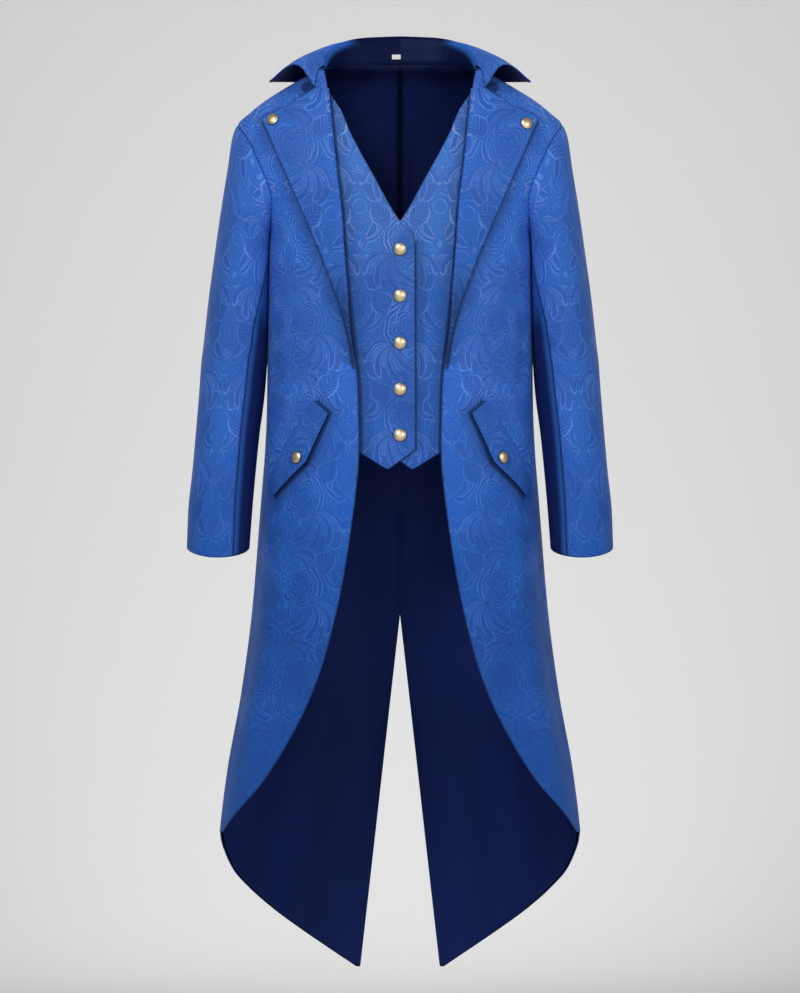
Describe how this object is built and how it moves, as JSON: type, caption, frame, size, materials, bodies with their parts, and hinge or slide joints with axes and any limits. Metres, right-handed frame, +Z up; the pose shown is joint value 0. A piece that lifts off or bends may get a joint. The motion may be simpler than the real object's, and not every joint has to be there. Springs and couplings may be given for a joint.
{
  "type": "tailcoat",
  "caption": "Hollow costume tailcoat with wide turned-back lapels, a stand-and-fall collar, a mock waistcoat front, slanted pocket flaps and long swallowtails",
  "frame": {"origin": "on the middle plane between the shoulders, level with the foot of the collar's front ends, where a wearer's shoulders carry the coat", "axes": "+X to the wearer's left, +Y to the back, +Z up; the fronts face -Y"},
  "size_m": [0.6044, 0.2999, 1.3235],
  "materials": {
    "jacquard": "royal blue figured weave with a slight sheen",
    "undersleeve": "plain navy cloth",
    "satin": "navy lining satin",
    "brass": "pale polished brass",
    "label": "plain white woven tape"
  },
  "bodies": {
    "root": {"coat_front_left": "jacquard", "coat_back_left": "jacquard", "back_lining_left": "satin", "waistcoat_front_left": "jacquard", "lapel_left": "jacquard", "pocket_flap_left": "jacquard", "topsleeve_left": "jacquard", "undersleeve_left": "undersleeve", "coat_front_right": "jacquard", "coat_back_right": "jacquard", "back_lining_right": "satin", "waistcoat_front_right": "jacquard", "lapel_right": "jacquard", "pocket_flap_right": "jacquard", "topsleeve_right": "jacquard", "undersleeve_right": "undersleeve", "collar_upper": "jacquard", "collar_under": "satin", "collar_stand_lining": "satin", "label": "label", "button_waistcoat_1": "brass", "button_waistcoat_2": "brass", "button_waistcoat_3": "brass", "button_waistcoat_4": "brass", "button_waistcoat_5": "brass", "button_lapel_left": "brass", "button_pocket_left": "brass", "button_lapel_right": "brass", "button_pocket_right": "brass"}
  },
  "joints": []
}
